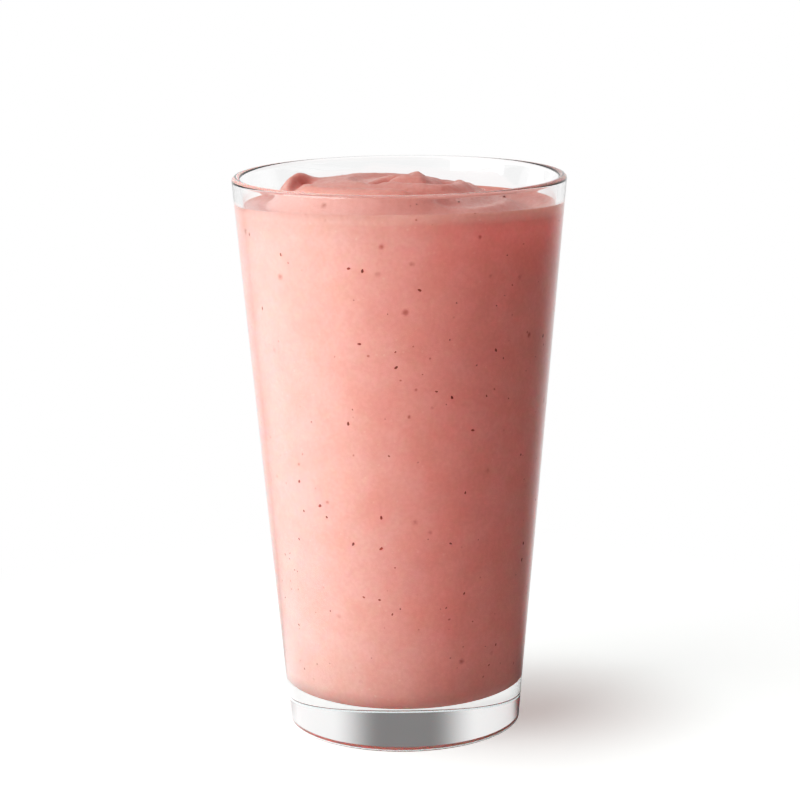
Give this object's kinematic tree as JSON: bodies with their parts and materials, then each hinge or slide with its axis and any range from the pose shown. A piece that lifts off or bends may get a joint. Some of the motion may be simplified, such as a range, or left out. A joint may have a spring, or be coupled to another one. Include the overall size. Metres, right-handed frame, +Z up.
{
  "type": "glass of strawberry smoothie",
  "caption": "Tapered clear bar glass with a thick base, filled almost to the rim with thick pink fruit smoothie whose top is swirled into a low crown with a small peak.",
  "frame": {"origin": "centre of the ring that the glass stands on, at the bottom of the glass", "axes": "+Z up along the axis of the glass; -Y is the front, where the edge of the drink stands highest; +X to the right seen from the front"},
  "size_m": [0.0888, 0.0888, 0.15],
  "materials": {
    "glass": "clear, smooth, glossy soda-lime glass",
    "smoothie": "thick, opaque, faintly wet pink smoothie with small dark red flecks",
    "fleck": "tiny dark red-brown seeds and skin flecks in the smoothie"
  },
  "bodies": {
    "root": {"glass": "glass", "smoothie": "smoothie"}
  },
  "joints": []
}
